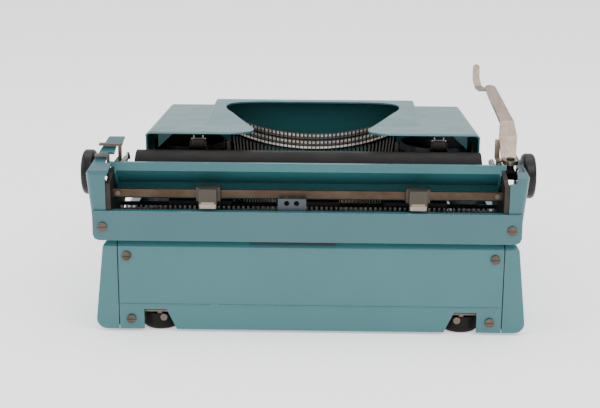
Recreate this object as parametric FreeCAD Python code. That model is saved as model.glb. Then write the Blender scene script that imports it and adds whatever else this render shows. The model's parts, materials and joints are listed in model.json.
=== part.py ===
"""Portable typewriter, in millimetres. +Z is up, the keyboard faces -Y, and +X is the typist's right.

Depths are measured forward from the rear panel with y_at(depth). The carriage is centred on X = 0 and the
base on X = BASE_X, because the carriage rests slightly to the right of the base.
"""
import FreeCAD, Part
import math
import os

V = FreeCAD.Vector

# Overall sizes
REAR_Y = 154.5            # rear panel plane
BASE_X = -2.65            # centre line of the base and the type basket
SHEET = 1.5               # thickness of the body panels
BASE_HALF = 146.5         # half width of the base at its widest
BASE_DEPTH = 312.0
BASE_BOTTOM = 2.0
BASE_TOP = 65.0
PANEL_HALF = 130.5        # half width of the rear panel
PAN_Z = 12.0              # underside of the base pan

# Ribbon cover
COVER_HALF = 119.0
COVER_SHEET = 1.2
COVER_REAR = 57.0         # depth of the cover's rear lip
COVER_BOTTOM = 66.5
HUMP_HALF = 82.0
MOUTH_SHIFT = 1.2         # the mouth lies slightly to the right of the cover's middle

# Platen and carriage
PLATEN_R = 16.0
PLATEN_DEPTH = 45.0
PLATEN_Z = 102.0
PLATEN_HALF = 120.0
SHAFT_R = 3.0
CLEAR = 0.3               # gap between parts that move on each other
KNOB_R = 15.8
KNOB_IN = 149.0
KNOB_OUT = 157.5
STRIP_HALF = 144.0
PLATE_IN = 131.4          # end plates of the carriage
PLATE_OUT = 134.4
END_COVER_IN = 134.8
FEED_R = 5.5
FEED_DEPTH = 39.5
FEED_Z = 80.9
RAIL_DEPTHS = (16.0, 40.0)
STOP_X = (-74.5, 66.5)    # margin stops at rest, left and right
STOP_HALF = 6.0
FINGER_ROD_Z = 84.0
LEVER_X = -139.5          # pivot of the return lever
LEVER_DEPTH = 35.0
BOLT_R = 2.6

# Type basket: pivots lie on an arc in a tilted plane
ARC_R = 73.5
ARC_DEPTH = 49.8
ARC_Z = 104.1
ARC_TILT = 41.0
BAR_COUNT = 43
BAR_PITCH = 2.15          # degrees
BAR_LENGTH = 74.4
BAR_REST = 81.0           # degrees between a resting bar and the arc's radius
BAR_THICK = 1.4
SLUG_WIDTH = 2.5

# Keyboard
KEY_PITCH = 19.0
KEY_R = 6.8
KEY_THICK = 5.0
LEVER_THICK = 1.6
FULCRUM_DEPTH = 60.0
FULCRUM_Z = 33.0
LEVER_LOW = 29.0
LEVER_HIGH = 36.5
ROD_R = 2.0
ROWS = {                  # first key's X from the centre, number of keys, depth, height of the key tops
    "number_keys": (-81.0, 10, 226.0, 72.0),
    "upper_keys": (-90.5, 10, 245.0, 63.0),
    "home_keys": (-85.75, 10, 264.0, 54.0),
    "lower_keys": (-76.25, 9, 283.0, 47.0),
}
TYPING_KEY = 5            # the home row key that swings the middle typebar
SIDE_KEYS = {             # X from the centre, depth, height of the key top
    "margin_release_key": (-100.0, 226.0, 72.0),
    "backspace_key": (99.5, 245.0, 63.0),
    "shift_lock": (-104.75, 264.0, 54.0),
    "tab_key": (104.25, 264.0, 54.0),
}
SHIFT_X = 98.0
SHIFT_LEVER_X = 110.0
SPACE_ARM_X = 113.5
SPACE_DEPTH = 296.5
SPACE_HALF = 62.0

# Ribbon
CUP_X = 90.5
CUP_DEPTH = 92.5
CUP_R = 26.0
CUP_LOW = 88.0
CUP_HIGH = 116.0
SPOOL_R = 22.0
SPOOL_LOW = 90.5
SPOOL_HIGH = 107.0
RIBBON_LOW = 92.0
RIBBON_HIGH = 104.5


def y_at(depth):
    return REAR_Y - depth


def box(x0, x1, d0, d1, z0, z1):
    """A box between two X values, two depths and two heights."""
    return Part.makeBox(x1 - x0, d1 - d0, z1 - z0, V(x0, y_at(d1), z0))


def rod_x(x0, x1, depth, z, radius):
    return Part.makeCylinder(radius, x1 - x0, V(x0, y_at(depth), z), V(1, 0, 0))


def rod_y(x, d0, d1, z, radius):
    return Part.makeCylinder(radius, d1 - d0, V(x, y_at(d1), z), V(0, 1, 0))


def rod_z(x, depth, z0, z1, radius):
    return Part.makeCylinder(radius, z1 - z0, V(x, y_at(depth), z0))


def prism(points, along):
    """Closed outline of vectors, extruded by a vector."""
    return Part.Face(Part.makePolygon(points + [points[0]])).extrude(along)


def side_prism(x0, x1, outline):
    """Outline of (depth, z) points, extruded from x0 to x1."""
    return prism([V(x0, y_at(d), z) for d, z in outline], V(x1 - x0, 0, 0))


def rear_prism(d0, d1, outline):
    """Outline of (x, z) points, extruded between two depths."""
    return prism([V(x, y_at(d1), z) for x, z in outline], V(0, d1 - d0, 0))


def plan_prism(z0, z1, outline):
    """Outline of (x, depth) points, extruded between two heights."""
    return prism([V(x, y_at(d), z0) for x, d in outline], V(0, 0, z1 - z0))


def fuse(shapes):
    whole = shapes[0].multiFuse(shapes[1:]) if len(shapes) > 1 else shapes[0]
    return whole.removeSplitter()


def mirrored(outline):
    """Adds the mirror image of one half of an outline, in the order that closes it."""
    return outline + [(-x, other) for x, other in reversed(outline)]


def pair(shape):
    """A piece and its mirror image across X = 0, as separate solids."""
    return Part.makeCompound([shape, shape.mirror(V(0, 0, 0), V(1, 0, 0))])


def export(name, shape, x=0.0):
    moved = shape.copy()
    moved.translate(V(x, 0, 0))
    moved.exportStep("parts/" + name + ".step")


# ---- base ----

def body_solid(inset):
    """The body's outer form, drawn in by an inset on the sides and the ends."""
    lower_r = 7.0
    upper_r = 6.0
    draft = 5.5
    flank = BASE_HALF - inset
    shoulder = flank - draft
    steps = 8
    lower = [(flank - lower_r * (1 - math.sin(t)), BASE_BOTTOM + lower_r * (1 - math.cos(t)))
             for t in (math.pi / 2 * i / steps for i in range(1, steps + 1))]
    upper = [(shoulder - upper_r * (1 - math.cos(t)), BASE_TOP - inset - upper_r * (1 - math.sin(t)))
             for t in (math.pi / 2 * i / steps for i in range(steps + 1))]
    section = mirrored([(flank - lower_r, BASE_BOTTOM)] + lower + upper)
    profile = [
        (inset, BASE_BOTTOM),
        (inset, 61.0),
        (3.0 + inset, BASE_TOP - inset),
        (208.0, BASE_TOP - inset),
        (300.0, 40.0 - inset),
        (BASE_DEPTH - 3.0 - inset, 33.0 - inset),
        (BASE_DEPTH - inset, 27.0),
        (BASE_DEPTH - inset, BASE_BOTTOM),
    ]
    long = rear_prism(inset, BASE_DEPTH - inset, section)
    return long.common(side_prism(-BASE_HALF, BASE_HALF, profile))


def body_shell():
    """Folded sheet body, open below and above, with a rim round the top."""
    shell = body_solid(0.0).cut(body_solid(SHEET))
    rim_depth = 10.0
    rim_half = 127.0
    shell = shell.cut(box(-rim_half, rim_half, rim_depth, 304.0, 20.0, BASE_TOP + 1))
    below = box(-BASE_HALF, BASE_HALF, SHEET, BASE_DEPTH - SHEET, 0.0, BASE_BOTTOM + 0.1)
    return shell.cut(below)


def make_body():
    shell = body_shell()
    gap = 0.7
    rear = shell.common(box(-PANEL_HALF, PANEL_HALF, -1, 12.0, 0, 80))
    notch = [(113.7, 1.0), (113.7, 16.3), (98.2, 16.3), (91.0, 1.0)]
    for side in (1, -1):
        rear = rear.cut(rear_prism(-2, 14.0, [(side * x, z) for x, z in notch]))
    export("rear_panel", rear, BASE_X)
    export("front_apron", shell.common(box(-PANEL_HALF, PANEL_HALF, 290.0, BASE_DEPTH + 1, 0, 80)), BASE_X)
    outer = PANEL_HALF + gap
    export("right_side_shell", shell.common(box(outer, 160, -1, BASE_DEPTH + 1, 0, 80)), BASE_X)
    export("left_side_shell", shell.common(box(-160, -outer, -1, BASE_DEPTH + 1, 0, 80)), BASE_X)


def make_base_inside():
    pan_half = BASE_HALF - 2.5
    pan = box(-pan_half, pan_half, 13.0, BASE_DEPTH - 2.5, PAN_Z, PAN_Z + SHEET)
    export("base_pan", pan, BASE_X)
    feet = []
    for x in (-103.5, 103.5):
        for depth in (16.0, 272.0):
            foot = rod_z(x, depth, 0.0, PAN_Z, 13.5)
            lower = [edge for edge in foot.Edges if edge.BoundBox.ZMax < 1.0]
            feet.append(foot.makeFillet(4.0, lower))
    export("rubber_feet", Part.makeCompound(feet), BASE_X)
    top = 62.0
    plate = side_prism(120.0, 123.0, [
        (14.0, PAN_Z + SHEET), (14.0, top), (206.0, top), (286.0, 32.0), (286.0, PAN_Z + SHEET),
    ])
    export("right_frame_plate", plate, BASE_X)
    export("left_frame_plate", plate.mirror(V(0, 0, 0), V(1, 0, 0)), BASE_X)
    rails = [box(-136.0, 136.0, d - 2.0, d + 2.0, 67.0, 71.5) for d in RAIL_DEPTHS]
    blocks = [box(x - 4, x + 4, 14.0, 42.0, top, 67.0) for x in (-121.5, 121.5)]
    export("carriage_rails", fuse(rails + blocks), BASE_X)
    heads = []
    for x, z in ((124.7, 54.5), (122.5, 9.5)):
        for side in (-1, 1):
            head = rod_y(side * x, -1.4, 0.0, z, 3.2)
            heads.append(head.cut(box(side * x - 4, side * x + 4, -2, -0.9, z - 0.4, z + 0.4)))
    export("panel_screws", Part.makeCompound(heads), BASE_X)


# ---- type basket ----

def tilt(shape):
    """Carries a shape from the flat arc plane to its place in the basket."""
    placed = shape.copy()
    placed.rotate(V(0, 0, 0), V(1, 0, 0), ARC_TILT)
    placed.translate(V(0, y_at(ARC_DEPTH), ARC_Z))
    return placed


def arc_band(inner, outer, low, high, half_angle):
    """Part of a ring in the arc plane, centred on the front."""
    ring = Part.makeCylinder(outer, high - low, V(0, 0, low))
    ring = ring.cut(Part.makeCylinder(inner, high - low, V(0, 0, low)))
    reach = 2 * outer
    left = math.radians(-90 - half_angle)
    right = math.radians(-90 + half_angle)
    wedge = prism([
        V(0, 0, low),
        V(reach * math.cos(left), reach * math.sin(left), low),
        V(0, -reach * 2, low),
        V(reach * math.cos(right), reach * math.sin(right), low),
    ], V(0, 0, high - low))
    return ring.common(wedge)


def typebar(angle):
    """One typebar with its slug, lying at rest at an angle round the arc."""
    rest = math.radians(BAR_REST)

    def at(u, v, x):
        y = -ARC_R - u * math.cos(rest) + v * math.sin(rest)
        return V(x, y, u * math.sin(rest) + v * math.cos(rest))

    head = BAR_LENGTH
    outline = [(-3.0, -3.5), (-3.0, 2.5), (4.0, 2.5), (9.0, -1.0), (head - 14.0, -3.5), (head - 8.0, -3.0),
               (head + 3.0, -3.0), (head + 3.0, -5.5), (head - 14.0, -6.0), (6.0, -5.0)]
    half = BAR_THICK / 2
    bar = prism([at(u, v, -half) for u, v in outline], V(BAR_THICK, 0, 0))
    slug_outline = [(head - 8.0, -3.5), (head - 8.0, -0.6), (head - 3.0, -0.6), (head - 2.2, -1.4),
                    (head - 1.6, -0.6), (head + 4.0, -0.6), (head + 4.0, -3.5)]
    half = SLUG_WIDTH / 2
    slug = prism([at(u, v, -half) for u, v in slug_outline], V(SLUG_WIDTH, 0, 0))
    pin_hole = Part.makeCylinder(0.6 + CLEAR, 4.0, V(-2.0, -ARC_R, 0), V(1, 0, 0))
    whole = bar.fuse(slug).cut(pin_hole)
    whole.rotate(V(0, 0, 0), V(0, 0, 1), angle)
    return tilt(whole)


def make_basket():
    middle = (BAR_COUNT - 1) // 2
    still = [typebar((i - middle) * BAR_PITCH) for i in range(BAR_COUNT) if i != middle]
    export("typebars", Part.makeCompound(still), BASE_X)
    export("middle_typebar", typebar(0.0), BASE_X)
    half_angle = 48.0
    export("segment", tilt(arc_band(ARC_R + 6.5, ARC_R + 16.0, -5.0, 5.0, half_angle)), BASE_X)
    wire = Part.makeTorus(ARC_R, 0.6, V(0, 0, 0), V(0, 0, 1))
    wire = wire.common(arc_band(ARC_R - 2, ARC_R + 2, -2.0, 2.0, half_angle))
    export("pivot_wire", tilt(wire), BASE_X)
    export("typebar_rest", tilt(arc_band(ARC_R + 16.5, ARC_R + 20.0, 50.0, 57.0, half_angle)), BASE_X)
    prong = box(2.6, 5.0, 67.0, 69.5, 84.0, 107.0)
    foot = box(-5.0, 5.0, 67.0, 69.5, 78.0, 84.0)
    export("type_guide", fuse([prong, prong.mirror(V(0, 0, 0), V(1, 0, 0)), foot]), BASE_X)
    arm = box(6.5, 8.5, 63.6, 65.0, 80.0, 108.0)
    bridge = box(-8.5, 8.5, 63.6, 65.0, 76.0, 80.0)
    export("ribbon_vibrator", fuse([arm, arm.mirror(V(0, 0, 0), V(1, 0, 0)), bridge]), BASE_X)


# ---- ribbon ----

def make_ribbon():
    cup = rod_z(CUP_X, CUP_DEPTH, CUP_LOW, CUP_HIGH, CUP_R)
    cup = cup.cut(rod_z(CUP_X, CUP_DEPTH, CUP_LOW + 1.0, CUP_HIGH, CUP_R - 1.0))
    window_low = CUP_LOW + 2
    window_high = CUP_HIGH - 5
    window = box(CUP_X - CUP_R - 2, CUP_X - 15.0, CUP_DEPTH - 18.0, CUP_DEPTH - 2.0, window_low, window_high)
    cup = cup.cut(window)
    cup = cup.cut(rod_z(CUP_X, CUP_DEPTH, CUP_LOW - 1, CUP_LOW + 2, SHAFT_R + CLEAR))
    export("right_spool_cup", cup, BASE_X)
    export("left_spool_cup", cup.mirror(V(0, 0, 0), V(1, 0, 0)), BASE_X)
    low = rod_z(CUP_X, CUP_DEPTH, SPOOL_LOW, SPOOL_LOW + 1.0, SPOOL_R)
    high = rod_z(CUP_X, CUP_DEPTH, SPOOL_HIGH - 1.0, SPOOL_HIGH, SPOOL_R)
    pack = rod_z(CUP_X, CUP_DEPTH, SPOOL_LOW + 1.0, SPOOL_HIGH - 1.0, SPOOL_R - 5.0)
    shaft = rod_z(CUP_X, CUP_DEPTH, 66.0, SPOOL_HIGH + 5.0, SHAFT_R)
    spool = fuse([low, high, pack, shaft])
    export("right_spool", spool, BASE_X)
    export("left_spool", spool.mirror(V(0, 0, 0), V(1, 0, 0)), BASE_X)
    thick = 0.3
    route = [(66.4, 80.5), (65.0, 70.4), (62.0, 66.2), (7.0, 62.3)]
    inside = [(x - thick, depth + thick) for x, depth in route]
    half = plan_prism(RIBBON_LOW, RIBBON_HIGH, route + inside[::-1])
    middle = box(-7.0, 7.0, 62.3, 62.3 + thick, RIBBON_LOW, RIBBON_HIGH)
    export("ribbon", fuse([half, half.mirror(V(0, 0, 0), V(1, 0, 0)), middle]), BASE_X)
    post = rod_z(60.5, 70.5, 66.0, 120.0, 1.6)
    export("ribbon_posts", pair(post), BASE_X)


# ---- keyboard ----

def key_cap(x, depth, top):
    """A round key top, slightly dished, on its stem."""
    cap = rod_z(x, depth, top - KEY_THICK, top, KEY_R)
    rims = [edge for edge in cap.Edges if edge.BoundBox.ZMin > top - 0.1]
    cap = cap.makeFillet(1.2, rims)
    dish_r = 30.0
    return cap.cut(Part.makeSphere(dish_r, V(x, y_at(depth), top + dish_r - 0.6)))


def key_lever(x, depth, top, thick=LEVER_THICK):
    """A flat lever hung on the fulcrum rod, turned up at its front end under the key top."""
    half = thick / 2
    outline = [
        (FULCRUM_DEPTH - 5.0, LEVER_LOW), (FULCRUM_DEPTH - 5.0, LEVER_HIGH),
        (depth - 4.0, LEVER_HIGH), (depth - 2.5, top), (depth + 2.5, top), (depth + 4.0, LEVER_LOW),
    ]
    lever = side_prism(x - half, x + half, outline)
    return lever.cut(rod_x(x - thick, x + thick, FULCRUM_DEPTH, FULCRUM_Z, ROD_R + CLEAR))


def round_key(x, depth, top):
    return key_lever(x, depth, top - KEY_THICK).fuse(key_cap(x, depth, top))


def wide_key(x0, x1, depth, top, reach):
    """A wide key top with rounded corners, reach being half its depth."""
    cap = box(x0, x1, depth - reach, depth + reach, top - KEY_THICK, top)
    corners = [edge for edge in cap.Edges if edge.BoundBox.ZLength > KEY_THICK - 0.1]
    cap = cap.makeFillet(3.0, corners)
    rims = [edge for edge in cap.Edges if edge.BoundBox.ZMin > top - 0.1]
    return cap.makeFillet(1.0, rims)


def make_keys():
    for name, (first, count, depth, top) in ROWS.items():
        keys = [round_key(first + i * KEY_PITCH, depth, top) for i in range(count)]
        if name == "home_keys":
            export("typing_key", keys.pop(TYPING_KEY), BASE_X)
        export(name, Part.makeCompound(keys), BASE_X)
    for name, (x, depth, top) in SIDE_KEYS.items():
        export(name, round_key(x, depth, top), BASE_X)
    depth, top = ROWS["lower_keys"][2:]
    lever = key_lever(SHIFT_LEVER_X, depth, top - KEY_THICK)
    tie = box(SHIFT_X - 4, SHIFT_LEVER_X, depth - 2.0, depth + 2.0, top - KEY_THICK - 1.6, top - KEY_THICK)
    cap = wide_key(SHIFT_X - 8, SHIFT_X + 8, depth, top, 6.8)
    shift = fuse([lever, tie, cap])
    export("right_shift_key", shift, BASE_X)
    export("left_shift_key", shift.mirror(V(0, 0, 0), V(1, 0, 0)), BASE_X)
    make_space_bar()
    rod = rod_x(-120.0, 120.0, FULCRUM_DEPTH, FULCRUM_Z, ROD_R)
    export("key_fulcrum_rod", rod, BASE_X)


def make_space_bar():
    top = 40.0
    cap = wide_key(-SPACE_HALF, SPACE_HALF, SPACE_DEPTH, top, 5.0)
    under = top - KEY_THICK
    cross = box(-SPACE_ARM_X, SPACE_ARM_X, 292.0, 295.0, LEVER_LOW + 1.0, under)
    arms = [key_lever(side * SPACE_ARM_X, 290.0, LEVER_HIGH) for side in (-1, 1)]
    export("space_bar", fuse([cap, cross] + arms), BASE_X)


# ---- ribbon cover ----

def round_long_edges(shape, half, radius):
    """Rounds the upper edges that run from rear to front at either side of a form."""
    margin = 3.0
    edges = []
    for edge in shape.Edges:
        bounds = edge.BoundBox
        beside = min(abs(bounds.XMin), abs(bounds.XMax)) > half - margin
        if beside and bounds.YLength > 50.0 and bounds.ZMin > 115.0:
            edges.append(edge)
    return shape.makeFillet(radius, edges)


def cover_form(inset):
    """The cover's outer form, drawn in by an inset."""
    deck_rear = 128.5 - inset
    deck_front = 122.3 - inset
    front = 216.5 - inset
    rear = COVER_REAR if inset == 0 else COVER_REAR - 5
    lip = 125.6 if inset == 0 else 120.0
    side_rear = 64.5
    deck = side_prism(-COVER_HALF + inset, COVER_HALF - inset, [
        (rear, lip), (rear, deck_rear - 1.0), (rear + 1.5, deck_rear), (200.0 - inset, deck_front),
        (203.5 - inset, deck_front - 1.5), (front - 0.5, 84.0), (front, COVER_BOTTOM - inset),
        (side_rear if inset == 0 else rear, COVER_BOTTOM - inset),
        (side_rear if inset == 0 else rear, lip),
    ])
    deck = round_long_edges(deck, COVER_HALF - inset, 5.0 - inset)
    hump_section = mirrored([
        (HUMP_HALF - inset, 60.0), (HUMP_HALF - inset, 118.0),
        (HUMP_HALF - 2.5 - inset, 132.0 - inset),
    ])
    hump_side = side_prism(-HUMP_HALF, HUMP_HALF, [
        (91.0, 118.0), (91.0, 127.05 - inset), (203.0 - inset, 126.4 - inset),
        (206.0 - inset, 124.9 - inset),
        (front, 84.0), (200.0, 84.0), (196.0, 112.0),
    ])
    hump = round_long_edges(rear_prism(90.0, 217.0, hump_section).common(hump_side), HUMP_HALF - inset, 2.6)
    return deck.fuse(hump)


def cover_mouth():
    """Opening over the typebars: a wide bowl that narrows to a mouth at the rear lip."""
    half = [
        (62.0, COVER_REAR - 4), (56.5, COVER_REAR), (48.0, 58.5), (43.5, 62.0), (41.6, 66.0), (41.0, 70.5),
        (41.3, 76.0), (43.2, 84.0), (47.2, 97.0), (54.0, 118.0), (60.5, 139.0), (66.0, 155.0),
        (68.3, 165.0), (68.5, 175.0), (66.5, 182.5), (62.5, 187.0), (57.5, 189.8), (48.0, 191.8),
        (36.0, 193.0),
    ]
    return plan_prism(100.0, 140.0, [(x + MOUTH_SHIFT, depth) for x, depth in mirrored(half)])


def make_cover():
    cover = cover_form(0.0).cut(cover_form(COVER_SHEET)).cut(cover_mouth())
    inner = COVER_HALF - COVER_SHEET
    cover = cover.cut(box(-inner, inner, 190.0, 220.0, 60.0, 77.0))
    gusset = rear_prism(65.5, 66.7, [(97.9, 127.2), (110.1, 127.2), (110.1, 115.8)])
    pads = [gusset, gusset.mirror(V(0, 0, 0), V(1, 0, 0))]
    export("ribbon_cover", fuse([cover] + pads), BASE_X)


# ---- carriage ----

def make_carriage_frame():
    bed_low = 73.0
    bed_high = 75.0
    bed = box(-PLATE_OUT, PLATE_OUT, 6.0, 50.0, bed_low, bed_high)
    for depth in RAIL_DEPTHS:
        bed = bed.cut(box(-110.0, 110.0, depth + 5.0, depth + 7.5, bed_low - 1, bed_high + 1))
    end = side_prism(PLATE_IN, PLATE_OUT, [
        (-1.5, bed_low), (-1.5, 105.0), (8.0, 108.0), (26.0, 112.0), (50.0, 112.0), (52.0, 96.0),
        (61.6, 90.0), (61.6, 80.0), (50.0, bed_low),
    ])
    end = end.cut(rod_x(PLATE_IN - 1, PLATE_OUT + 1, PLATEN_DEPTH, PLATEN_Z, SHAFT_R + CLEAR))
    ear = box(-STRIP_HALF + 2, -PLATE_IN, 29.0, 41.0, 107.4, 109.7)
    bolt = rod_z(LEVER_X, LEVER_DEPTH, 109.7, 117.0, BOLT_R)
    finger_rod = rod_x(-PLATE_IN, PLATE_IN, 59.8, FINGER_ROD_Z, 1.4)
    export("carriage_frame", fuse([bed, end, end.mirror(V(0, 0, 0), V(1, 0, 0)), ear, bolt, finger_rod]))


def end_cover_form(inset):
    """Form of the right-hand cover: drawn in at the foot, rounded at the back, leaning in at the top."""
    open_side = 0.0 if inset == 0 else 7.0
    rear = -1.5 + inset
    top = 126.3 - inset
    outline = [
        (rear, 70.0 - open_side), (rear, 111.0 - inset / 3), (rear + 1.5, 113.5 - inset),
        (20.0, 118.0 - inset), (48.0, top), (51.5 + open_side, top), (53.0 + open_side, 124.0 - inset),
        (53.0 + open_side, 80.0 - open_side), (10.0, 78.0 - open_side), (6.0, 70.0 - open_side),
    ]
    section = [
        (END_COVER_IN, 60.0), (142.5 - inset, 60.0), (144.5 - inset, 76.0), (148.0 - inset, 111.0),
        (144.0 - inset, 118.6), (139.5 - inset, 127.0), (129.0, 127.0), (129.0, 118.0),
        (END_COVER_IN, 109.0),
    ]
    if inset > 0:
        section = [(x - 1.0 if x < 136.0 else x, z) for x, z in section]
    form = side_prism(120.0, 150.0, outline).common(rear_prism(-2.0, 61.0, section))
    corner_r = 4.5 - inset
    corners = []
    for edge in form.Edges:
        bounds = edge.BoundBox
        if bounds.ZLength > 10 and bounds.YMin > y_at(rear) - 0.1 and bounds.XMin > 138.0:
            corners.append(edge)
    return form.makeFillet(corner_r, corners)


def make_end_covers():
    cover = end_cover_form(0.0).cut(end_cover_form(SHEET))
    cover = cover.cut(rod_x(138.0, 152.0, PLATEN_DEPTH, PLATEN_Z, SHAFT_R + 3.0))
    paper_release_gap = box(120.0, 132.7, -3.0, 38.5, 100.0, 131.0)
    carriage_release_gap = box(120.0, 136.9, 12.0, 27.0, 105.0, 131.0)
    export("right_end_cover", cover.cut(paper_release_gap).cut(carriage_release_gap))
    left = cover.mirror(V(0, 0, 0), V(1, 0, 0))
    recess = box(-145.2, -120.0, 4.0, 60.0, 107.0, 130.0).fuse(box(-139.5, -120.0, -3.0, 6.0, 107.0, 130.0))
    export("left_end_cover", left.cut(recess))


def make_carriage_panels():
    low = 66.0
    high = 86.6
    strip = rear_prism(-3.0, -3.0 + SHEET, mirrored([
        (STRIP_HALF - 4.0, low), (STRIP_HALF - 1.2, low + 1.2), (STRIP_HALF, low + 4.0), (STRIP_HALF, high),
    ]))
    top_fold = box(-PLATE_IN, PLATE_IN, -1.5, 1.5, high - SHEET, high)
    export("carriage_rear_strip", fuse([strip, top_fold]))
    heads = []
    for side in (-1, 1):
        head = rod_y(side * 137.3, -4.3, -3.0, 75.6, 3.2)
        heads.append(head.cut(box(side * 137.3 - 4, side * 137.3 + 4, -5, -3.9, 75.2, 76.0)))
    export("carriage_screws", Part.makeCompound(heads))
    table_half = PLATE_IN - 0.3
    table = side_prism(-table_half, table_half, [
        (16.0, 110.0), (16.6, 115.6), (19.5, 115.6), (19.5, 114.2), (18.0, 114.2), (17.6, 110.4),
        (28.0, 100.0), (33.7, 87.0), (33.0, 86.5), (27.0, 99.4),
    ])
    lip = side_prism(-PLATE_OUT, PLATE_OUT, [
        (16.0, 110.0), (16.6, 115.6), (19.5, 115.6), (19.5, 114.2), (18.0, 114.2), (17.6, 110.0),
    ])
    for side in (-1, 1):
        middle = side * (PLATE_IN + PLATE_OUT) / 2
        lip = lip.cut(box(middle - 1.9, middle + 1.9, 10.0, 30.0, 100.0, 112.5))
    web = side_prism(table_half - 1.2, table_half, [
        (16.4, 113.5), (17.2, 111.0), (28.0, 100.0), (33.4, 87.4), (27.0, 92.0), (20.5, 100.0),
        (15.6, 108.5),
    ])
    export("paper_table", fuse([table, lip, web, web.mirror(V(0, 0, 0), V(1, 0, 0))]))


def make_rails_and_stops():
    rail = box(-PLATE_IN, PLATE_IN, 9.0, 11.5, 93.5, 98.8)
    export("margin_rail", rail)
    tooth_pitch = 3.3
    rack = [box(-PLATE_IN, PLATE_IN, 7.0, 8.6, 83.0, 85.6)]
    teeth = int(256.0 / tooth_pitch)
    for i in range(teeth):
        x = (i - (teeth - 1) / 2) * tooth_pitch
        rack.append(box(x - 0.7, x + 0.7, 7.0, 8.6, 85.6, 88.0))
    export("tab_rack", fuse(rack))
    for name, x in zip(("left_margin_stop", "right_margin_stop"), STOP_X):
        top = box(x - STOP_HALF - 2, x + STOP_HALF + 2, 5.0, 14.0, 99.4, 101.2)
        neck = box(x - STOP_HALF, x + STOP_HALF, 0.0, 6.0, 99.4, 101.2)
        front = box(x - STOP_HALF - 2, x + STOP_HALF + 2, 12.2, 14.0, 91.0, 100.0)
        tab = box(x - STOP_HALF, x + STOP_HALF, 0.0, 1.3, 88.0, 101.2)
        face = box(x - STOP_HALF - 2, x + STOP_HALF + 2, 5.0, 6.4, 92.0, 100.0)
        export(name, fuse([top, neck, front, tab, face]))
    bracket = box(-9.5, 9.5, 2.6, 4.2, 65.0, 94.5)
    for x in (-3.0, 3.6):
        bracket = bracket.cut(rod_y(x, 2.0, 5.0, 91.5, 1.8))
    export("escapement_bracket", bracket, BASE_X + 12.6)


def make_platen():
    shaft = rod_x(-KNOB_IN - 2, KNOB_IN + 2, PLATEN_DEPTH, PLATEN_Z, SHAFT_R)
    export("platen", fuse([rod_x(-PLATEN_HALF, PLATEN_HALF, PLATEN_DEPTH, PLATEN_Z, PLATEN_R), shaft]))
    knob = rod_x(KNOB_IN, KNOB_OUT, PLATEN_DEPTH, PLATEN_Z, KNOB_R)
    knob = knob.makeFillet(2.6, [edge for edge in knob.Edges if edge.Length > KNOB_R])
    knob = knob.cut(rod_x(KNOB_OUT - 0.8, KNOB_OUT, PLATEN_DEPTH, PLATEN_Z, 10.0))
    knob = knob.cut(rod_x(KNOB_IN - 1, KNOB_IN + 2, PLATEN_DEPTH, PLATEN_Z, SHAFT_R))
    export("right_platen_knob", knob)
    export("left_platen_knob", knob.mirror(V(0, 0, 0), V(1, 0, 0)))
    rollers = [rod_x(x - 22, x + 22, FEED_DEPTH, FEED_Z, FEED_R) for x in (-75.0, 0.0, 75.0)]
    spindle = rod_x(-PLATE_IN + CLEAR, PLATE_IN - CLEAR, FEED_DEPTH, FEED_Z, 1.5)
    export("feed_rollers", fuse(rollers + [spindle]))


def make_paper_fingers():
    """Brackets in front of the platen, each with a roller that holds the paper down."""
    for name, x in (("left_paper_finger", -92.0), ("right_paper_finger", 78.0)):
        roller = rod_x(x - 4.0, x + 4.0, 56.8, 119.8, 3.8)
        pin = rod_x(x - 5.6, x + 5.6, 56.8, 119.8, 1.0)
        cheeks = [side_prism(x + s * 5.1 - 0.6, x + s * 5.1 + 0.6, [
            (54.0, 118.6), (54.0, 122.4), (60.0, 122.4), (63.0, 116.0), (63.0, 110.0), (61.3, 110.0),
        ]) for s in (-1, 1)]
        arm = box(x - 5.7, x + 5.7, 61.3, 62.0, FINGER_ROD_Z - 1.5, 113.0)
        export(name, fuse([roller, pin, arm] + cheeks))


def bent_strip(points, widths, thick):
    """A flat strip folded along a path, with a width at each point and round folds."""
    pieces = []
    for start, end, first, last in zip(points, points[1:], widths, widths[1:]):
        along = end - start
        across = V(0, 0, 1).cross(along).normalize()
        up = along.cross(across).normalize()
        low = up * (-thick / 2)
        outline = [start + across * (first / 2) + low, end + across * (last / 2) + low,
                   end - across * (last / 2) + low, start - across * (first / 2) + low]
        pieces.append(prism(outline, up * thick))
        pieces.append(Part.makeCylinder(thick / 2, first, start - across * (first / 2), across))
    tip = Part.makeCylinder(widths[-1] / 2, thick, points[-1] + low, up)
    return fuse(pieces + [tip])


def make_return_lever():
    path = [
        (LEVER_X, LEVER_DEPTH, 114.1), (-139.2, 42.0, 114.8), (-139.4, 52.0, 128.4), (-139.6, 62.0, 136.6),
        (-137.6, 76.0, 141.4), (-135.6, 92.0, 146.4), (-133.2, 110.0, 152.4),
    ]
    widths = [10.0, 10.0, 12.6, 10.0, 9.2, 8.8, 8.0]
    blade = bent_strip([V(x, y_at(depth), z) for x, depth, z in path], widths, 2.2)
    hook = [(-132.6, 108.0, 152.0), (-128.6, 118.0, 150.0), (-126.0, 125.0, 151.0), (-124.9, 131.0, 156.5),
            (-125.2, 135.0, 164.0)]
    finger = bent_strip([V(x, y_at(depth), z) for x, depth, z in hook], [7.0, 5.6, 5.0, 5.0, 5.0], 2.2)
    hub = rod_z(LEVER_X, LEVER_DEPTH, 112.6, 115.6, 5.4)
    lever = fuse([blade, finger, hub]).cut(rod_z(LEVER_X, LEVER_DEPTH, 100.0, 117.5, BOLT_R + CLEAR))
    flap = [box(-138.0, -130.5, 38.5, 43.0, 112.8, 114.2), box(-134.0, -130.5, 38.5, 52.0, 112.8, 114.2),
            box(-134.0, -130.5, 50.6, 52.0, 112.8, 126.5)]
    export("return_lever", fuse([lever] + flap))


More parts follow.
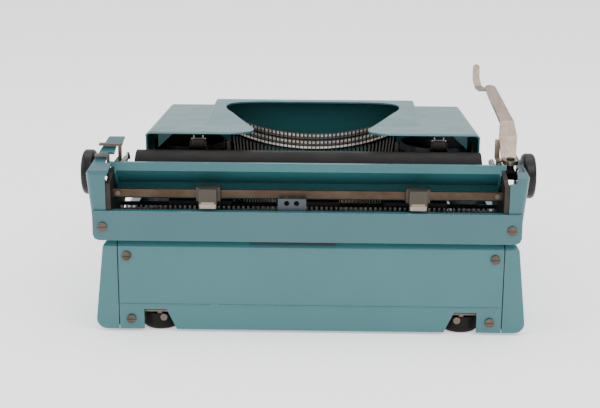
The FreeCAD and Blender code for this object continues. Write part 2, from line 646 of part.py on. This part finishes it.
def make_release_levers():
    """Two small levers at the right end: a stem on a pin, with a finger tab over the end cover."""
    stem = box(128.9, 130.9, 32.0, 36.0, 106.2, 125.0)
    tab = box(128.9, 144.0, 32.0, 36.0, 123.5, 125.0)
    pin = rod_x(128.9, PLATE_IN - CLEAR, 34.0, 108.0, 2.0)
    export("paper_release_lever", fuse([stem, tab, pin]))
    stem = box(134.9, 136.4, 17.5, 21.5, 104.0, 120.6)
    tab = box(134.9, 144.7, 17.5, 21.5, 119.2, 120.6)
    pin = rod_x(PLATE_OUT + CLEAR, 136.4, 19.5, 106.0, 3.0)
    export("carriage_release_lever", fuse([stem, tab, pin]))


def make_rear_bay():
    drum = rod_z(-95.0, 38.0, 40.0, 56.0, 19.0)
    drum = drum.cut(rod_z(-95.0, 38.0, 52.0, 56.0, 16.0)).fuse(rod_z(-95.0, 38.0, 18.0, 59.0, SHAFT_R))
    export("mainspring_drum", drum, BASE_X)
    wheel = rod_y(12.6, 30.0, 31.6, 52.0, 10.0)
    teeth = 24
    notches = []
    for i in range(teeth):
        angle = 2 * math.pi * i / teeth
        notches.append(rod_y(12.6 + 10.2 * math.cos(angle), 29.0, 33.0, 52.0 + 10.2 * math.sin(angle), 0.8))
    wheel = wheel.cut(Part.makeCompound(notches)).fuse(rod_y(12.6, 27.0, 36.0, 52.0, 1.5))
    export("escapement_wheel", wheel, BASE_X)
    gong = rod_z(95.0, 38.0, 42.0, 54.0, 16.0)
    gong = gong.makeFillet(8.0, [edge for edge in gong.Edges if edge.BoundBox.ZMin > 53.0])
    gong = gong.cut(rod_z(95.0, 38.0, 41.0, 52.5, 7.5))
    gong = gong.fuse(rod_z(95.0, 38.0, PAN_Z + SHEET, 43.0, 2.5))
    export("bell", gong, BASE_X)


os.makedirs("parts", exist_ok=True)
make_body()
make_base_inside()
make_basket()
make_ribbon()
make_keys()
make_cover()
make_carriage_frame()
make_end_covers()
make_carriage_panels()
make_rails_and_stops()
make_platen()
make_paper_fingers()
make_return_lever()
make_release_levers()
make_rear_bay()
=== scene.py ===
"""Looks of the portable typewriter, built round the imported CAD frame. Metres, +Z up, keyboard towards -Y."""
import json
import math
import random

import bmesh
import bpy
from mathutils import Matrix, Vector


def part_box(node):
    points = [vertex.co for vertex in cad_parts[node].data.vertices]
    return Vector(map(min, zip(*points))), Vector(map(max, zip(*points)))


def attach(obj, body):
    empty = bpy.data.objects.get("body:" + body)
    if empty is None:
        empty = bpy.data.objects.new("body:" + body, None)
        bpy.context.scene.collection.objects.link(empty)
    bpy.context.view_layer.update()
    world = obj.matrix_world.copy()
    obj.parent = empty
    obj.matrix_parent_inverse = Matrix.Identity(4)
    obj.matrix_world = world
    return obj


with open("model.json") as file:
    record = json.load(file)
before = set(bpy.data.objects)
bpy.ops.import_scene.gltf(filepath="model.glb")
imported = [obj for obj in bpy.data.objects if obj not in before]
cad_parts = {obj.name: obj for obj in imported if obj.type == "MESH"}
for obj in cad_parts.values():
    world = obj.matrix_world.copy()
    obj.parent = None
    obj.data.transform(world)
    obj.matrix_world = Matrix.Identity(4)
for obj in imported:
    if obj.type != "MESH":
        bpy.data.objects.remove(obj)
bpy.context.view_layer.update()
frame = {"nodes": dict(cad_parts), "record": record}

MM = 0.001
NODES = frame["nodes"]


# ---- camera, floor and light ----

CAMERA_PLACE = (-13.15, 965.1, 307.4)
CAMERA_PITCH = 14.88
CAMERA_YAW = 1.25
CAMERA_ROLL = 0.28
CAMERA_LENS = 75.3
SENSOR_WIDTH = 36.0
FLOOR_SIZE = 12.0
FLOOR_WHITE = (0.93, 0.93, 0.93)
FLOOR_GLOW = 0.62
WORLD_STRENGTH = 1.25
LIGHT_TARGET = (0, 0, 0.06)


def add_camera():
    """Rear view from a little above, with the lens and pose fitted to the object's proportions."""
    pitch = math.radians(CAMERA_PITCH)
    yaw = math.radians(CAMERA_YAW)
    forward = Vector((math.sin(yaw) * math.cos(pitch), -math.cos(yaw) * math.cos(pitch), -math.sin(pitch)))
    right = Vector((-math.cos(yaw), -math.sin(yaw), 0.0))
    up = right.cross(forward)
    turn = Matrix((right, up, -forward)).transposed().to_4x4()
    roll = Matrix.Rotation(math.radians(CAMERA_ROLL), 4, "Z")
    data = bpy.data.cameras.new("camera")
    data.lens = CAMERA_LENS
    data.sensor_width = SENSOR_WIDTH
    data.clip_start = 0.01
    camera = bpy.data.objects.new("camera", data)
    camera.matrix_world = Matrix.Translation(Vector(CAMERA_PLACE) * MM) @ turn @ roll
    bpy.context.scene.collection.objects.link(camera)
    bpy.context.scene.camera = camera


def add_floor():
    bpy.ops.mesh.primitive_plane_add(size=FLOOR_SIZE, location=(0, 0, 0))
    floor = bpy.context.object
    floor.name = "floor"
    white = plain_material("floor_white", FLOOR_WHITE, 0.9)
    shader = white.node_tree.nodes["Principled BSDF"]
    shader.inputs["Emission Color"].default_value = (1, 1, 1, 1)
    shader.inputs["Emission Strength"].default_value = FLOOR_GLOW
    floor.data.materials.append(white)


def add_area(name, place, target, size, power):
    data = bpy.data.lights.new(name, "AREA")
    data.shape = "RECTANGLE"
    data.size = size[0]
    data.size_y = size[1]
    data.energy = power
    light = bpy.data.objects.new(name, data)
    direction = Vector(target) - Vector(place)
    light.location = place
    light.rotation_euler = direction.to_track_quat("-Z", "Y").to_euler()
    bpy.context.scene.collection.objects.link(light)


def add_lights():
    world = bpy.data.worlds.new("studio")
    world.use_nodes = True
    background = world.node_tree.nodes["Background"]
    background.inputs["Color"].default_value = (1, 1, 1, 1)
    background.inputs["Strength"].default_value = WORLD_STRENGTH
    bpy.context.scene.world = world
    add_area("key_light", (-0.7, 0.9, 1.3), LIGHT_TARGET, (1.0, 0.7), 10.0)
    add_area("fill_light", (1.1, 0.6, 0.9), LIGHT_TARGET, (0.8, 0.8), 5.0)
    add_area("top_light", (0.0, -0.3, 1.5), LIGHT_TARGET, (1.4, 0.8), 8.0)


# ---- materials ----

def plain_material(name, colour, rough):
    material = bpy.data.materials.new(name)
    material.use_nodes = True
    shader = material.node_tree.nodes["Principled BSDF"]
    shader.inputs["Base Color"].default_value = (*colour, 1)
    shader.inputs["Roughness"].default_value = rough
    return material


class Nodes:
    """Short calls for building one material's node tree."""

    def __init__(self, material):
        self.tree = material.node_tree
        self.shader = self.tree.nodes["Principled BSDF"]
        self.coords = self.tree.nodes.new("ShaderNodeTexCoord").outputs["Object"]

    def stretched(self, scale):
        mapping = self.tree.nodes.new("ShaderNodeMapping")
        mapping.inputs["Scale"].default_value = scale
        self.tree.links.new(self.coords, mapping.inputs["Vector"])
        return mapping.outputs["Vector"]

    def noise(self, scale, detail=4.0, rough=0.55, vector=None):
        node = self.tree.nodes.new("ShaderNodeTexNoise")
        node.inputs["Scale"].default_value = scale
        node.inputs["Detail"].default_value = detail
        node.inputs["Roughness"].default_value = rough
        self.tree.links.new(vector or self.coords, node.inputs["Vector"])
        return node.outputs["Fac"]

    def ramp(self, value, low, high, first=(0, 0, 0), last=(1, 1, 1)):
        node = self.tree.nodes.new("ShaderNodeValToRGB")
        node.color_ramp.elements[0].position = low
        node.color_ramp.elements[1].position = high
        node.color_ramp.elements[0].color = (*first, 1)
        node.color_ramp.elements[1].color = (*last, 1)
        self.tree.links.new(value, node.inputs["Fac"])
        return node.outputs["Color"]

    def mix(self, factor, first, last):
        node = self.tree.nodes.new("ShaderNodeMix")
        node.data_type = "RGBA"
        self.tree.links.new(factor, node.inputs[0])
        for socket, value in ((node.inputs[6], first), (node.inputs[7], last)):
            if isinstance(value, tuple):
                socket.default_value = (*value, 1)
            else:
                self.tree.links.new(value, socket)
        return node.outputs[2]

    def multiply(self, first, second):
        node = self.tree.nodes.new("ShaderNodeMath")
        node.operation = "MULTIPLY"
        self.tree.links.new(first, node.inputs[0])
        self.tree.links.new(second, node.inputs[1])
        return node.outputs[0]

    def worn_edges(self):
        """High along edges, where a rounded normal leaves the true one, broken up by noise."""
        geometry = self.tree.nodes.new("ShaderNodeNewGeometry")
        rounded = self.tree.nodes.new("ShaderNodeBevel")
        rounded.samples = 4
        rounded.inputs["Radius"].default_value = 0.7 * MM
        dot = self.tree.nodes.new("ShaderNodeVectorMath")
        dot.operation = "DOT_PRODUCT"
        self.tree.links.new(geometry.outputs["Normal"], dot.inputs[0])
        self.tree.links.new(rounded.outputs["Normal"], dot.inputs[1])
        edge = self.ramp(dot.outputs["Value"], 0.80, 0.93, (1, 1, 1), (0, 0, 0))
        return self.multiply(edge, self.ramp(self.noise(120.0, 6.0, 0.7), 0.56, 0.66))

    def bump(self, height, strength, distance=0.0004):
        node = self.tree.nodes.new("ShaderNodeBump")
        node.inputs["Strength"].default_value = strength
        node.inputs["Distance"].default_value = distance
        self.tree.links.new(height, node.inputs["Height"])
        self.tree.links.new(node.outputs["Normal"], self.shader.inputs["Normal"])

    def roughness(self, value, low, high):
        node = self.tree.nodes.new("ShaderNodeMapRange")
        node.inputs["To Min"].default_value = low
        node.inputs["To Max"].default_value = high
        self.tree.links.new(value, node.inputs["Value"])
        self.tree.links.new(node.outputs["Result"], self.shader.inputs["Roughness"])

    def colour(self, value):
        self.tree.links.new(value, self.shader.inputs["Base Color"])


def paint(name, colour, rough=0.32, wear=(0.30, 0.29, 0.27)):
    """Enamel with faint clouding, fine orange peel, small chips and rubbed edges."""
    material = plain_material(name, colour, rough)
    n = Nodes(material)
    darker = tuple(c * 0.94 for c in colour)
    lighter = tuple(min(1.0, c * 1.05) for c in colour)
    clouded = n.ramp(n.noise(14.0, 5.0), 0.3, 0.7, darker, lighter)
    grime = n.ramp(n.noise(90.0, 8.0, 0.7), 0.64, 0.84)
    soiled = n.mix(grime, clouded, tuple(c * 0.74 for c in colour))
    chips = n.ramp(n.noise(420.0, 2.0), 0.775, 0.79)
    chipped = n.mix(chips, soiled, tuple(c * 0.35 for c in colour))
    n.colour(n.mix(n.worn_edges(), chipped, wear))
    n.roughness(n.noise(60.0, 6.0), rough - 0.08, rough + 0.12)
    n.bump(n.noise(900.0, 3.0), 0.10, 0.0002)
    n.shader.inputs["Coat Weight"].default_value = 0.12
    n.shader.inputs["Coat Roughness"].default_value = 0.2
    return material


def metal(name, colour, rough=0.35, tarnish=(0.16, 0.11, 0.07), amount=0.6, grain=(40, 900, 900)):
    """Bare metal with drawn grain and brown tarnish in patches."""
    material = plain_material(name, colour, rough)
    n = Nodes(material)
    n.shader.inputs["Metallic"].default_value = 1.0
    patches = n.ramp(n.noise(70.0, 8.0, 0.7), 0.75 - amount * 0.5, 0.80)
    shade = tuple(c * 0.8 for c in colour)
    streak = n.ramp(n.noise(1.0, 4.0, 0.6, n.stretched(grain)), 0.3, 0.7, shade, colour)
    n.colour(n.mix(patches, streak, tarnish))
    n.roughness(n.noise(120.0, 6.0), rough - 0.1, rough + 0.2)
    n.bump(n.noise(1.0, 3.0, 0.5, n.stretched(grain)), 0.12, 0.0002)
    return material


def rubber(name, colour, rough=0.6):
    """Aged rubber: dusty patches and fine pits."""
    material = plain_material(name, colour, rough)
    n = Nodes(material)
    n.shader.inputs["Specular IOR Level"].default_value = 0.16
    dust = n.ramp(n.noise(35.0, 8.0, 0.65), 0.45, 0.8)
    n.colour(n.mix(dust, colour, tuple(c * 1.8 + 0.002 for c in colour)))
    n.roughness(n.noise(80.0), rough - 0.12, rough + 0.15)
    n.bump(n.noise(1500.0, 3.0), 0.25, 0.0003)
    return material


def plastic(name, colour, rough=0.3):
    """Moulded plastic with a soft mottle and finger polish."""
    material = plain_material(name, colour, rough)
    n = Nodes(material)
    n.shader.inputs["Specular IOR Level"].default_value = 0.3
    n.colour(n.ramp(n.noise(45.0, 6.0), 0.3, 0.75, tuple(c * 0.85 for c in colour), colour))
    n.roughness(n.noise(90.0, 5.0), rough - 0.1, rough + 0.15)
    n.bump(n.noise(1200.0, 2.0), 0.08, 0.0002)
    return material


def cloth(name, colour):
    """Closely woven inked ribbon."""
    material = plain_material(name, colour, 0.85)
    n = Nodes(material)
    wave = n.tree.nodes.new("ShaderNodeTexWave")
    wave.bands_direction = "Z"
    wave.inputs["Scale"].default_value = 900.0
    n.tree.links.new(n.coords, wave.inputs["Vector"])
    n.colour(n.ramp(n.noise(300.0), 0.3, 0.8, colour, tuple(c * 2 + 0.01 for c in colour)))
    n.roughness(n.noise(200.0), 0.7, 0.95)
    n.bump(wave.outputs["Fac"], 0.3, 0.0002)
    return material


TEAL = (0.026, 0.124, 0.137)
MATERIALS = {
    "teal_paint": paint("teal_enamel", TEAL),
    "grey_paint": paint("blue_grey_enamel", (0.028, 0.040, 0.054), 0.38),
    "black_paint": paint("black_enamel", (0.012, 0.012, 0.013), 0.4),
    "steel": metal("aged_steel", (0.15, 0.125, 0.105), 0.4),
    "type_steel": metal("type_steel", (0.055, 0.050, 0.046), 0.4, (0.02, 0.018, 0.016), 0.8),
    "chrome": metal("dull_chrome", (0.33, 0.32, 0.31), 0.22, (0.25, 0.2, 0.15), 0.2),
    "brass": metal("dull_brass", (0.55, 0.40, 0.18), 0.4),
    "black_rubber": rubber("aged_rubber", (0.0040, 0.0032, 0.0028), 0.5),
    "black_plastic": plastic("black_plastic", (0.0022, 0.0020, 0.0020), 0.34),
    "key_plastic": plastic("key_plastic", (0.30, 0.33, 0.29)),
    "ribbon_fabric": cloth("inked_ribbon", (0.008, 0.008, 0.009)),
}
FINGER_STEEL = metal("finger_steel", (0.05, 0.045, 0.04), 0.4, (0.03, 0.025, 0.02), 0.8)
SCREW_STEEL = metal("screw_steel", (0.13, 0.105, 0.085), 0.36, (0.05, 0.03, 0.02), 0.8)
STOP_STEEL = metal("stop_steel", (0.085, 0.080, 0.068), 0.45, (0.08, 0.07, 0.05), 0.9)
SPECIAL = {
    "margin_rail": metal("tarnished_rail", (0.115, 0.082, 0.058), 0.42, (0.05, 0.028, 0.017), 0.9),
    "return_lever": metal("lever_steel", (0.40, 0.33, 0.27), 0.32, (0.17, 0.115, 0.075), 0.6, (300, 40, 300)),
    "left_margin_stop": STOP_STEEL,
    "right_margin_stop": STOP_STEEL,
    "carriage_frame": metal("bed_steel", (0.06, 0.055, 0.05), 0.5, (0.03, 0.025, 0.02), 0.9),
    "carriage_rails": metal("rail_steel", (0.20, 0.18, 0.16), 0.35),
    "tab_rack": metal("rack_steel", (0.30, 0.29, 0.27), 0.35, (0.05, 0.04, 0.03), 0.7),
    "left_paper_finger": FINGER_STEEL,
    "right_paper_finger": FINGER_STEEL,
    "panel_screws": SCREW_STEEL,
    "carriage_screws": SCREW_STEEL,
    "left_spool_cup": metal("cup_steel", (0.16, 0.17, 0.19), 0.35, (0.08, 0.08, 0.085), 0.5),
    "right_spool_cup": FINGER_STEEL,
}
for node in ("carriage_rear_strip", "left_end_cover", "right_end_cover"):
    SPECIAL[node] = paint(f"{node}_enamel", (0.021, 0.098, 0.113))


SHEET_EDGE = 0.9 * MM
FINE_EDGE = 0.25 * MM


def dress_cad():
    """Gives every carried-over node its material and softened edges."""
    for entry in frame["record"]["subparts"]:
        name = entry["node"]
        piece = NODES[name]
        material = SPECIAL.get(name) or MATERIALS[entry["material_slot"]]
        piece.data.materials.clear()
        piece.data.materials.append(material)
        soften(piece, SHEET_EDGE if entry["material_slot"] == "teal_paint" else FINE_EDGE)


def soften(piece, width):
    bevel = piece.modifiers.new("soft_edges", "BEVEL")
    bevel.width = width
    bevel.segments = 2
    bevel.limit_method = "ANGLE"
    bevel.angle_limit = math.radians(40)
    bevel.harden_normals = False


# ---- mesh helpers ----

REAR_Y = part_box("rear_panel")[1][1]


def mm(x, y, z):
    """A point in metres from millimetres."""
    return (x * MM, y * MM, z * MM)


def at(x, depth, z):
    """A point in metres from millimetres across, in front of the rear panel's face, and up."""
    return (x * MM, REAR_Y - depth * MM, z * MM)


def middle_x(node):
    """Middle of a node across the object, in millimetres."""
    return sum(corner[0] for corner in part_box(node)) / 2 / MM


def add_piece(name, mesh, slot, body, material=None):
    piece = bpy.data.objects.new(name, mesh)
    bpy.context.scene.collection.objects.link(piece)
    mesh.materials.clear()
    mesh.materials.append(material or MATERIALS[slot])
    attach(piece, body)
    return piece


def block(bm, low, high, matrix=None):
    """Adds a box between two corners, turned and placed by a matrix."""
    size = Vector(high) - Vector(low)
    centre = (Vector(high) + Vector(low)) / 2
    turn = (matrix or Matrix()) @ Matrix.Translation(centre) @ Matrix.Diagonal((*size, 1))
    bmesh.ops.create_cube(bm, size=1.0, matrix=turn)


def disc(bm, centre, axis, radius, height, sides=24):
    """Adds a closed cylinder centred on a point, along an axis."""
    turn = Vector(axis).to_track_quat("Z", "Y").to_matrix().to_4x4()
    bmesh.ops.create_cone(bm, cap_ends=True, segments=sides, radius1=radius, radius2=radius, depth=height,
                          matrix=Matrix.Translation(Vector(centre)) @ turn)


def finish_mesh(bm, name):
    mesh = bpy.data.meshes.new(name)
    bm.to_mesh(mesh)
    bm.free()
    return mesh


def tube_piece(name, points, radius, slot, body, material=None):
    """A round wire through points, as a smooth mesh."""
    curve = bpy.data.curves.new(name, "CURVE")
    curve.dimensions = "3D"
    curve.bevel_depth = radius
    curve.bevel_resolution = 3
    curve.use_fill_caps = True
    spline = curve.splines.new("POLY")
    spline.points.add(len(points) - 1)
    for point, place in zip(spline.points, points):
        point.co = (*place, 1)
    holder = bpy.data.objects.new(name + "_curve", curve)
    mesh = bpy.data.meshes.new_from_object(holder)
    bpy.data.objects.remove(holder)
    for face in mesh.polygons:
        face.use_smooth = True
    return add_piece(name, mesh, slot, body, material)


def coil(start, end, radius, turns, steps=14):
    """Points of a helical spring between two points."""
    start, end = Vector(start), Vector(end)
    along = end - start
    side = along.orthogonal().normalized()
    other = along.normalized().cross(side)
    points = []
    for i in range(turns * steps + 1):
        angle = 2 * math.pi * i / steps
        share = i / (turns * steps)
        round_wire = side * radius * math.cos(angle) + other * radius * math.sin(angle)
        points.append(start + along * share + round_wire)
    return points


# ---- type basket ----

ARC_DEPTH = 49.8
ARC_Z = 104.1
ARC_R = 73.5
ARC_TILT = 41.0
BAR_REST = 81.0
BAR_LENGTH = 74.4
BAR_PITCH = 2.15
BAR_COUNT = 43
TYPE_SEED = 7
CHARACTER_CENTRES = (-5.4, 1.4)
STROKE_PITCH = 0.62
STROKE_STRAY = 0.1
STROKE_HALVES = (0.5, 0.9, 1.2)
SERIF_LEVELS = (-0.9, 0.8)


def basket_matrix(angle):
    """Carries the middle bar's own plane (x across, y out, z up the arc's axis) to a bar's place."""
    centre = Vector(at(middle_x("middle_typebar"), ARC_DEPTH, ARC_Z))
    tilt = Matrix.Rotation(math.radians(ARC_TILT), 4, "X")
    return Matrix.Translation(centre) @ tilt @ Matrix.Rotation(math.radians(angle), 4, "Z")


def slug_matrix(angle):
    """Frame on a slug: x across the face, y up the bar, z out of the face."""
    rest = math.radians(BAR_REST)
    along = Vector((0, -math.cos(rest), math.sin(rest)))
    out = Vector((0, math.sin(rest), math.cos(rest)))
    across = along.cross(out)
    place = Vector((0, -ARC_R * MM, 0)) + along * BAR_LENGTH * MM
    local = Matrix((across, along, out)).transposed().to_4x4()
    return basket_matrix(angle) @ Matrix.Translation(place) @ local


def type_faces(bm, matrix, rng):
    """Two raised characters on a slug, as a few fine strokes each."""
    for centre in CHARACTER_CENTRES:
        for stroke in (-1, 0, 1):
            x = stroke * STROKE_PITCH + rng.uniform(-STROKE_STRAY, STROKE_STRAY)
            tall = rng.choice(STROKE_HALVES)
            block(bm, mm(x - 0.2, centre - tall, -0.65), mm(x + 0.2, centre + tall, -0.15), matrix)
        for level in SERIF_LEVELS:
            y = centre + level
            block(bm, mm(-0.8, y - 0.18, -0.65), mm(0.8, y + 0.18, -0.2), matrix)


def heel(bm, matrix):
    """Bright lower end of a slug, where it is pinched on to the bar."""
    block(bm, mm(-1.2, -10.6, -3.6), mm(1.2, -8.2, -1.2), matrix)


def add_type():
    rng = random.Random(TYPE_SEED)
    bright = metal("type_faces", (0.34, 0.31, 0.28), 0.26, (0.035, 0.028, 0.022), 0.75, (400, 400, 400))
    middle = (BAR_COUNT - 1) // 2
    still = bmesh.new()
    moving = bmesh.new()
    for i in range(BAR_COUNT):
        target = moving if i == middle else still
        place = slug_matrix((i - middle) * BAR_PITCH)
        type_faces(target, place, rng)
        heel(target, place)
    add_piece("type_characters", finish_mesh(still, "type_characters"), "type_steel", "base", bright)
    add_piece("middle_type_characters", finish_mesh(moving, "middle_type_characters"), "type_steel",
              "middle_bar", bright)


# ---- keyboard ----

LEGENDS = {
    "number_keys": "234567890-",
    "upper_keys": "QWERTYUIOP",
    "home_keys": "ASDFGHJKL;",
    "lower_keys": "ZXCVBNM,.",
}
ROW_BODIES = {"home_keys": {5: "typing_key"}}
ROW_DEPTHS = {"number_keys": 226.0, "upper_keys": 245.0, "home_keys": 264.0, "lower_keys": 283.0}
KEY_R = 6.8
KEY_PITCH = 19.0
LEGEND_SIZE = 7.0
LEGEND_THICKNESS = 0.05
LEGEND_DROP = 0.52


def legend(character, name, place, body, ink):
    font = bpy.data.curves.new(name, "FONT")
    font.body = character
    font.size = LEGEND_SIZE * MM
    font.extrude = LEGEND_THICKNESS * MM
    font.align_x = "CENTER"
    font.align_y = "CENTER"
    holder = bpy.data.objects.new(name + "_text", font)
    mesh = bpy.data.meshes.new_from_object(holder)
    bpy.data.objects.remove(holder)
    mesh.transform(Matrix.Translation(place))
    add_piece(name, mesh, "key_plastic", body, ink)


def add_legends():
    ink = plastic("legend_ink", (0.85, 0.86, 0.80), 0.4)
    for row, letters in LEGENDS.items():
        low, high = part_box(row)
        for i, letter in enumerate(letters):
            body = ROW_BODIES.get(row, {}).get(i, row)
            x = low[0] + (KEY_R + i * KEY_PITCH) * MM
            place = Vector((x, REAR_Y - ROW_DEPTHS[row] * MM, high[2] - LEGEND_DROP * MM))
            legend(letter, f"{row}_legend_{i}", place, body, ink)


# ---- small visible pieces ----

FOOT_X = 103.5
SEAM_WIDTH = 1.5
SPRING_X = 125.9
SPRING_R = 1.7
SPRING_TURNS = 7
SPRING_WIRE = 0.32
LINK_WIRE = 0.8
LINK_STEPS = 12


def add_foot_hardware():
    """Strip and screw that hold each rear foot, in the rear panel's notches."""
    middle = middle_x("rear_panel")
    strips = bmesh.new()
    for side in (-1, 1):
        x = middle + side * FOOT_X
        block(strips, at(x - 11, 8, 13.6), at(x + 11, 3, 14.8))
        disc(strips, at(x - side * 3, 2.2, 10.0), (0, 1, 0), 2.4 * MM, 1.6 * MM)
        block(strips, at(x - 1.5, 4.5, 3), at(x + 1.5, 3.4, 13.6))
    add_piece("foot_brackets", finish_mesh(strips, "foot_brackets"), "steel", "base")


def add_rear_panel_details():
    """Pressed rib near the foot of the rear panel, and a black block filling the slot at its top as painted
    shade in the opening.
    """
    left, right = (corner[0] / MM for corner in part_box("rear_panel"))
    rib = bmesh.new()
    block(rib, at(left + 0.2, 1.0, 19.6), at(right - 0.2, -0.35, 20.2))
    add_piece("rear_panel_rib", finish_mesh(rib, "rear_panel_rib"), "teal_paint", "base")
    slot_shade_block = bmesh.new()
    # painted shade: a black block fills the open slot so that it reads dark
    block(slot_shade_block, at(-19.5, 2.6, 63.6), at(38.4, -0.1, 65.8))
    add_piece("slot_painted_shade", finish_mesh(slot_shade_block, "slot_painted_shade"), "black_plastic", "base")


def add_seam_shade_strips():
    """Painted shade: black strips behind the side gaps of the rear panel and apron, and at the end covers'
    inner edges, so the gaps read dark.
    """
    left, right = (corner[0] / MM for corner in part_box("rear_panel"))
    apron = (REAR_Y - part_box("front_apron")[0][1]) / MM
    seam_shade_strips = bmesh.new()
    # painted shade: black strips behind the side gaps keep the floor from showing through
    for x in (left - 0.9, right - 0.6):
        block(seam_shade_strips, at(x, 3.4, 4.0), at(x + SEAM_WIDTH, 2.0, 60.0))
        block(seam_shade_strips, at(x, apron - 1.7, 3.0), at(x + SEAM_WIDTH, apron - 2.9, 26.0))
    add_piece("panel_seam_shade", finish_mesh(seam_shade_strips, "panel_seam_shade"), "black_paint", "base")
    gap_shade_strips = bmesh.new()
    # painted shade: black strips in the gaps at the end covers' inner edges
    for side, top in ((1, 107.0), (-1, 106.0)):
        near, far = sorted((side * 134.5, side * 138.0))
        block(gap_shade_strips, at(near, 1.9, 75.2), at(far, 0.5, top))
    add_piece("end_cover_gap_shade", finish_mesh(gap_shade_strips, "end_cover_gap_shade"), "black_paint", "carriage")


def add_carriage_springs():
    """Wire springs and links that stand for the mechanism at both ends of the platen."""
    chrome = MATERIALS["chrome"]
    for side, name, middle, low in ((1, "right", 36.0, 112.2), (-1, "left", 33.0, 104.0)):
        x = side * SPRING_X
        spring = coil(at(x, 22, 113.5), at(x, 34, 114.6), SPRING_R * MM, SPRING_TURNS)
        tube_piece(f"{name}_ratchet_spring", spring, SPRING_WIRE * MM, "chrome", "carriage", chrome)
        turns = (math.pi * i / LINK_STEPS for i in range(LINK_STEPS + 1))
        arch = [at(x - side, middle + 6 * math.cos(t), low + 5.5 * math.sin(t)) for t in turns]
        tube_piece(f"{name}_link", arch, LINK_WIRE * MM, "chrome", "carriage", chrome)


def add_screws():
    """Screw heads at the ends of the paper table and on the carriage ends."""
    heads = bmesh.new()
    for side in (-1, 1):
        disc(heads, at(side * 129.4, 18.0, 116.1), (0, 0, 1), 1.3 * MM, 1.0 * MM)
        disc(heads, at(side * 128.0, 8.6, 96.2), (0, 1, 0), 1.7 * MM, 1.0 * MM)
    add_piece("table_screws", finish_mesh(heads, "table_screws"), "steel", "carriage")


def add_finger_rollers():
    """Black rubber sleeve and small bright clip on each paper finger's roller."""
    for side in ("left", "right"):
        middle = middle_x(f"{side}_paper_finger")
        name = f"{side}_finger_sleeve"
        sleeve = bmesh.new()
        disc(sleeve, at(middle, 56.8, 119.8), (1, 0, 0), 4.0 * MM, 7.6 * MM, 32)
        soften(add_piece(name, finish_mesh(sleeve, name), "black_rubber", "carriage"), 0.4 * MM)
        name = f"{side}_finger_clip"
        clip = bmesh.new()
        for x in (middle - 3.2, middle + 3.2):
            block(clip, at(x - 0.5, 60.2, 121.6), at(x + 0.5, 58.2, 126.2))
        block(clip, at(middle - 5.4, 60.0, 122.8), at(middle + 5.4, 58.6, 124.0))
        soften(add_piece(name, finish_mesh(clip, name), "chrome", "carriage"), 0.2 * MM)


def add_stop_tips():
    """Bare metal finger tips and pointers of the margin stops."""
    tip_metal = metal("bare_tip", (0.32, 0.27, 0.22), 0.34, (0.2, 0.16, 0.12), 0.3)
    for side in ("left", "right"):
        middle = middle_x(f"{side}_margin_stop")
        name = f"{side}_stop_tip"
        tip = bmesh.new()
        block(tip, at(middle - 5.6, 1.2, 87.6), at(middle + 5.6, -0.5, 91.4))
        block(tip, at(middle - 4.6, 1.0, 91.0), at(middle + 4.6, -0.3, 92.6))
        soften(add_piece(name, finish_mesh(tip, name), "steel", f"{side}_stop", tip_metal), 0.5 * MM)


add_camera()
add_finger_rollers()
add_stop_tips()
add_floor()
add_lights()
dress_cad()
add_type()
add_legends()
add_foot_hardware()
add_rear_panel_details()
add_seam_shade_strips()
add_carriage_springs()
add_screws()
